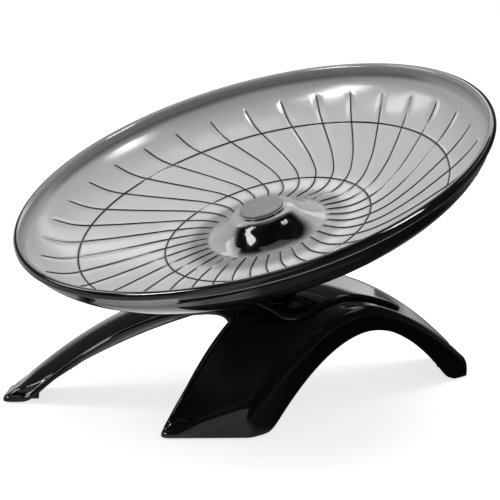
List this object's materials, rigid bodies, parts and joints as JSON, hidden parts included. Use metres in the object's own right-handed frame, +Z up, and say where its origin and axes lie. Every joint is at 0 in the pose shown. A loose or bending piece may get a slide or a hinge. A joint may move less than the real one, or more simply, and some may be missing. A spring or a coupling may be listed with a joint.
{
  "type": "pet exercise wheel",
  "caption": "Saucer exercise wheel for a small pet: a shallow ribbed see-through dish that spins on a leaning spindle over a glossy stand with splayed legs.",
  "frame": {"origin": "on the surface that the stand rests on, under the middle of the whole wheel's bounding box", "axes": "+Z up; +X to the right and +Y to the back as the picture shows the wheel, with the stand's long leg towards -X, its broad leg towards -Y and its short leg towards +X; the spindle leans towards -X and -Y"},
  "size_m": [0.3027, 0.2957, 0.2021],
  "materials": {
    "smoked_plastic": "clear moulded plastic tinted smoke grey, polished",
    "black_hub": "moulded black plastic",
    "acetal": "turned white acetal",
    "grey_cap": "moulded grey plastic, satin",
    "screw_steel": "zinc plated steel",
    "spindle_steel": "turned steel",
    "black_gloss": "moulded black plastic, mirror polished",
    "pad_rubber": "moulded black rubber, matt"
  },
  "bodies": {
    "stand": {"stand_shell": "black_gloss", "top_cover": "black_gloss", "pivot_spindle": "spindle_steel", "spindle_nut": "spindle_steel", "spindle_lock_washer": "spindle_steel", "thrust_washer": "acetal", "retaining_washer": "spindle_steel", "retaining_ring": "spindle_steel", "cover_screw_1": "screw_steel", "cover_screw_2": "screw_steel", "cover_screw_3": "screw_steel", "foot_pad_1": "pad_rubber", "foot_pad_2": "pad_rubber", "foot_pad_3": "pad_rubber"},
    "wheel": {"saucer_dish": "smoked_plastic", "hub_sleeve": "black_hub", "lower_bushing": "acetal", "upper_bushing": "acetal", "hub_cap": "grey_cap", "hub_screw_1": "screw_steel", "hub_screw_2": "screw_steel", "hub_screw_3": "screw_steel"}
  },
  "joints": [
    {"name": "wheel_spin", "type": "hinge", "parent": "stand", "child": "wheel", "pos_m": [0.0161, 0.0112, 0.1058], "axis": [-0.2563, -0.2412, 0.936], "continuous": true}
  ]
}
